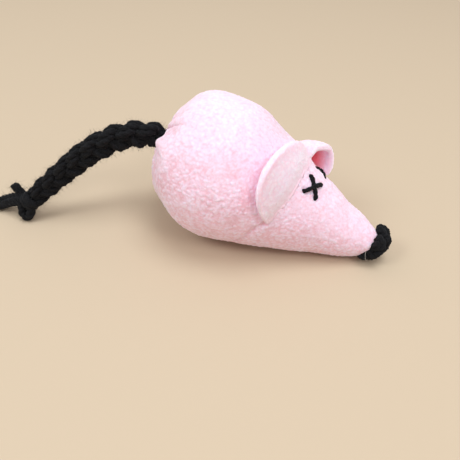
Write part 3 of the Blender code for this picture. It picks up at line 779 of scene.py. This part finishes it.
def yarn(points, radius, plies=3, pitch=0.008, sides=20, seed=0, fluff=0.10, start=0.0):
    """A soft plied strand along points: its grooves wind round it, its ends are rounded."""
    side, other = frames(points)[1:]
    length = walked(points)
    radius = np.broadcast_to(np.asarray(radius, float), len(points)).copy()
    near_end = np.minimum(length, length[-1] - length)
    cap = np.sqrt(np.clip(1 - (1 - np.clip(near_end / radius, 0, 1)) ** 2, 0.01, 1))
    angle = np.linspace(0, 2 * np.pi, sides, endpoint=False)
    wind = 2 * np.pi * length / pitch + start
    phase = (angle[None, :] - wind[:, None]) * plies / 2
    groove = np.abs(np.cos(phase)) ** 0.6
    shape = radius[:, None] * (0.66 + 0.36 * groove) * cap[:, None]
    out = np.cos(angle)[None, :, None] * side[:, None, :] + np.sin(angle)[None, :, None] * other[:, None, :]
    grid = points[:, None, :] + out * shape[..., None]
    lumps = value_noise(grid, 0.0011, seed) * 0.6 + value_noise(grid, 0.0005, seed + 1) * 0.7
    grid = grid + out * (lumps * fluff * radius[:, None])[..., None]
    grid[..., 2] = np.maximum(grid[..., 2], 0.1 * MM)
    return grid


def rope(points, radius, offset, pitch, seed, start=0.0, strands=3):
    """Plied strands that wind round each other along points."""
    side, other = frames(points)[1:]
    length = walked(points)
    offset = np.broadcast_to(np.asarray(offset, float), len(points))[:, None]
    grids = []
    for k in range(strands):
        turn = 2 * np.pi * (length / pitch + k / strands) + start
        path = points + (side * np.cos(turn)[:, None] + other * np.sin(turn)[:, None]) * offset
        grids.append(yarn(path, radius, 3, pitch * 0.4, 27, seed + 3 * k, 0.2, k * 2.0))
    return grids


def strands_object(name, grids, material):
    """One mesh of several tubes, each closed at its ends."""
    verts, faces, count = [], [], 0
    for grid in grids:
        rows, columns = grid.shape[:2]
        verts.append(grid.reshape(-1, 3))
        faces.append(grid_faces(rows, columns, around=True, start=count))
        count += rows * columns
    made = mesh_object(name, np.concatenate(verts), np.concatenate(faces), material)
    finish_mesh(made)
    return made


def hairs(name, grids, number, length, thick, seed, material, spread=0.5):
    """Loose fibres that stand out of strands, as thin bent three-sided needles."""
    rng = np.random.default_rng(seed)
    skin = np.concatenate([g[2:-2].reshape(-1, 3) for g in grids])
    core = np.concatenate([np.broadcast_to(g[2:-2].mean(1, keepdims=True), g[2:-2].shape).reshape(-1, 3)
                           for g in grids])
    chosen = rng.integers(0, len(skin), number)
    root = skin[chosen]
    out = unit(root - core[chosen])
    way = unit(out + rng.normal(0, spread, (number, 3)))
    bend = rng.normal(0, 1, (number, 3))
    bend = bend - way * (bend * way).sum(1, keepdims=True)
    long = length * rng.uniform(0.25, 1.0, (number, 1)) ** 1.5
    first = unit(np.cross(way, bend))
    second = np.cross(way, first)
    rings = []
    for k in range(5):
        share = k / 4
        spot = root - out * 0.3 * MM + way * long * share + bend * long * 0.35 * share * share
        for q in range(3):
            turn = 2 * np.pi * q / 3
            rings.append(spot + (first * math.cos(turn) + second * math.sin(turn)) * thick * (1 - 0.2 * k))
    verts = np.stack(rings, 1)
    verts[..., 2] = np.maximum(verts[..., 2], 0.05 * MM)
    one = np.array([[k * 3 + q, k * 3 + (q + 1) % 3, k * 3 + 3 + (q + 1) % 3, k * 3 + 3 + q]
                    for k in range(4) for q in range(3)])
    faces = (np.arange(number)[:, None, None] * 15 + one[None]).reshape(-1, 4)
    return mesh_object(name, verts, faces, material)


def unit(vectors):
    """Vectors of length one."""
    return vectors / np.maximum(np.linalg.norm(vectors, axis=-1, keepdims=True), 1e-12)


# Tail

def make_tail():
    """The three-strand braid, its fuzz, the knot at its end and the loose strands."""
    route = resample(smooth_curve(TAIL_ROUTE + POLE, 24), 260)
    hump = np.exp(-((np.linspace(0, 1, 260) - 0.62) / 0.2) ** 2)
    route = route + hump[:, None] * TAIL_HUMP
    run = frames(route)[0]
    flat = np.cross(run, (0, 0, 1))
    flat /= np.linalg.norm(flat, axis=1, keepdims=True)
    tall = np.cross(flat, run)
    length = walked(route)
    swell = np.clip((length - 0.001) / 0.005, 0, 1)
    swell = 0.8 + 0.2 * swell * swell * (3 - 2 * swell)
    taper = np.interp(length / length[-1], [0, 0.45, 1], [1, 1, 0.78])
    size = swell * taper
    ply = BRAID_PLY_RADIUS * size
    grids = []
    roots = []
    for k in range(3):
        turn = 2 * np.pi * (length / BRAID_PITCH + k / 3)
        offset = tall * np.sin(turn)[:, None] * BRAID_TALL + flat * np.sin(2 * turn)[:, None] * BRAID_FLAT
        strand = route + offset * size[:, None]
        roots.append(strand[2])
        grids += rope(strand, ply, ply, BRAID_PLY_PITCH, 60 + 12 * k, k * 2.1, 4)
    make_gather_twine(np.array(roots), flat[2], tall[2])
    braid = strands_object("braided_tail", grids, YARN)
    knot, stub, ends, ties = make_knot()
    fuzz = hairs("tail_fuzz", grids + ties, FUZZ_COUNT, 2.8 * MM, 0.036 * MM, 7, FUZZ, 0.7)
    lint = hairs("tail_lint", grids + ties, 40, 0.8 * MM, 0.035 * MM, 17, LINT, 0.9)
    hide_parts("tail_braid")
    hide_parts("tail_knot")
    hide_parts("tail_loose_end_upper")
    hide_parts("tail_loose_end_rear")
    for piece, name in ((braid, "tail_braid"), (knot, "tail_knot"), (stub, "tail_loose_end_upper"),
                        (ends, "tail_loose_end_rear"), (fuzz, "tail_braid"), (lint, "tail_braid")):
        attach(piece, "tail")


def make_gather_twine(roots, flat, tall):
    """The twine of the gathered mouth, drawn tight round the three strands at the tail's root."""
    loop = []
    for turn in np.linspace(-0.5 * np.pi, 1.5 * np.pi, 121):
        out = flat * math.cos(turn) + tall * math.sin(turn)
        loop.append(roots[int(np.argmax(roots @ out))] + out * TWINE_REACH)
    ring = yarn(resample(np.array(loop), 140), TWINE_RADIUS, 2, 2.2 * MM, 14, 77)
    twine = strands_object("gather_twine", [ring], TWINE)
    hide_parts("gather_thread")
    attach(twine, "tail_collar")


def make_knot():
    """The tail's end knot and the strands that come out of it."""
    middle = KNOT_MIDDLE + POLE

    def strand(points, radius, seed, pitch=6.5 * MM):
        path = resample(smooth_curve([middle + np.array(p) * MM for p in points], 14), 60)
        return yarn(path, radius * MM, 3, pitch, 22, seed, 0.12, seed)

    run = np.array([-0.67, -0.24, -0.70])
    wide = np.array([-0.166, 0.971, -0.173])
    tall = np.cross(run, wide)
    turns = np.linspace(0, 4.4 * np.pi, 16)
    start = np.array([1.7, 0.5, 1.9])
    wrap = [start + (wide * math.cos(t) + tall * math.sin(t)) * 2.4 + run * (t * 0.26 - 1.6) for t in turns]
    drop = [(-0.4, 0.4, 2.2), (-1.4, -1.0, -0.2), (-1.3, -2.0, -2.6), (0.2, -2.4, -4.1), (1.8, -2.2, -3.0),
            (2.4, -1.6, -0.4), (1.4, -0.4, 1.8)]
    knots = [strand(wrap, 1.45, 90), strand(drop, 1.65, 94)]
    upper = [[(0.6, 0.8, 1.6), (-2.6, 1.2, 3.2), (-4.6, 1.4, 4.8), (-6.0, 1.6, 6.6)],
             [(0.6, 1.6, 1.6), (-2.2, 2.0, 3.4), (-4.0, 2.2, 5.2), (-5.4, 2.4, 6.9)]]
    stubs = [strand(points, 1.15, 101 + 3 * k) for k, points in enumerate(upper)]
    rear = [
        [(0.4, -0.4, 1.8), (-3.4, -0.4, 1.7), (-7.4, -0.2, -0.4), (-10.4, 0.3, -2.6), (-14.4, 0.4, -4.4)],
        [(0.4, 0.6, 2.2), (-3.4, 0.8, 2.6), (-7.4, 1.6, 0.6), (-10.8, 2.2, -1.6), (-15.2, 2.2, -4.0)],
        [(0.4, -0.8, 0.8), (-3.0, -1.0, 0.7), (-6.6, -0.6, -0.9), (-9.8, -0.4, -2.9), (-14.0, -1.4, -4.5)],
    ]
    ends = [strand(points, 1.3, 110 + 3 * k) for k, points in enumerate(rear)]
    return (strands_object("tail_end_knot", knots, YARN), strands_object("tail_stub", stubs, YARN),
            strands_object("tail_strands", ends, YARN), knots + stubs + ends)


# Face

def make_nose():
    """The nose: thick twisted yarn wound over the tip and under it, with a stray pale thread."""
    middle = POLE + NOSE_LENGTH_SHARE * BODY_LENGTH * AHEAD + NOSE_RISE * UP
    grids = []
    taper = np.interp(np.linspace(0, 1, 90), [0, 0.70, 1], [1, 1, 0.5])
    for k, (side, high, low, deep) in enumerate(NOSE_TURNS):
        turn = np.radians(np.linspace(high, low, 12))
        path = np.stack([deep * np.cos(turn), np.full(12, side), 3.1 * np.sin(turn)], 1)
        if k == 0:
            path = np.concatenate([path, [(-2.6, -4.2, -3.6), (-4.4, -5.0, -4.0)]])
            path[:, :2] -= (1.5, 0.3)
        path = middle + resample(smooth_curve(path, 10), 90) * MM
        size = taper if k == 0 else 1.0
        grids += rope(path, 1.85 * MM * size, 1.2 * MM * size, 17 * MM, 120 + 12 * k, k * 1.3)
    nose = strands_object("yarn_nose", grids, YARN)
    fuzz = hairs("nose_fuzz", grids, 700, 1.2 * MM, 0.022 * MM, 11, FUZZ)
    spots = [(-3.7, -6.2, -0.3), (-3.5, -6.9, -1.8), (-3.0, -6.9, -3.6), (-2.0, -6.4, -4.9)]
    thread = smooth_curve([middle + np.array(p) * MM for p in spots], 10)
    lint = strands_object("nose_lint", [yarn(thread, 0.055 * MM, 2, 2 * MM, 6, 5, 0.1)], LINT)
    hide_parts("nose_knot")
    for piece in (nose, fuzz, lint):
        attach(piece, "mouse")


def make_eye(side):
    """Two crossed stitches of plied yarn that go into the cloth at their ends."""
    share, degrees = EYES[side]
    grids = []
    for over, (reach, spread) in enumerate(STITCH_REACHES):
        way = np.linspace(-1, 1, 44)
        arch = (1 + np.cos(np.pi * way)) / 2
        ends = np.clip((np.abs(way) - 0.84) / 0.16, 0, 1) ** 2
        lift = EYE_LIFT[side] + (over * 0.7 * arch - ends * 1.1) * MM
        spots = on_cloth(share + reach * way, SIGNS[side] * (degrees + spread * way), lift)[0]
        grids.append(yarn(spots, EYE_YARN_RADIUS[side], 2, 4.0 * MM, 18, 140 + over, 0.14, over))
    eye = strands_object(f"{side}_eye", grids, YARN)
    fuzz = hairs(f"{side}_eye_fuzz", grids, 90, 0.8 * MM, 0.02 * MM, 13, FUZZ)
    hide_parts(f"eye_{side}_cross")
    for piece in (eye, fuzz):
        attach(piece, "mouse")


def dress_inside():
    """Finishes for the hidden solids, which stay as they are."""
    looks = {
        "fibre_filling": plain_textile("filling_fibre", (0.90, 0.89, 0.86), (0.70, 0.69, 0.66), 0.0012),
        "valerian_pouch": plain_textile("pouch_muslin", (0.80, 0.74, 0.62), (0.62, 0.56, 0.44), 0.0005),
        "valerian_root": plain_textile("dried_root", (0.34, 0.23, 0.12), (0.12, 0.07, 0.03), 0.0016, 0.0006),
        "tail_anchor": YARN,
    }
    for name in ("pouch_tie", "belly_seam_thread", "ear_right_seam_thread", "ear_left_seam_thread"):
        looks[name] = TWINE
    for name, material in looks.items():
        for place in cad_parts[name].material_slots:
            place.material = material


bpy.context.scene.view_settings.view_transform = "Standard"
make_camera()
make_tail()
make_stage()
make_body()
make_nose()
for ear_side in SIGNS:
    make_ear(ear_side)
    make_eye(ear_side)
dress_inside()
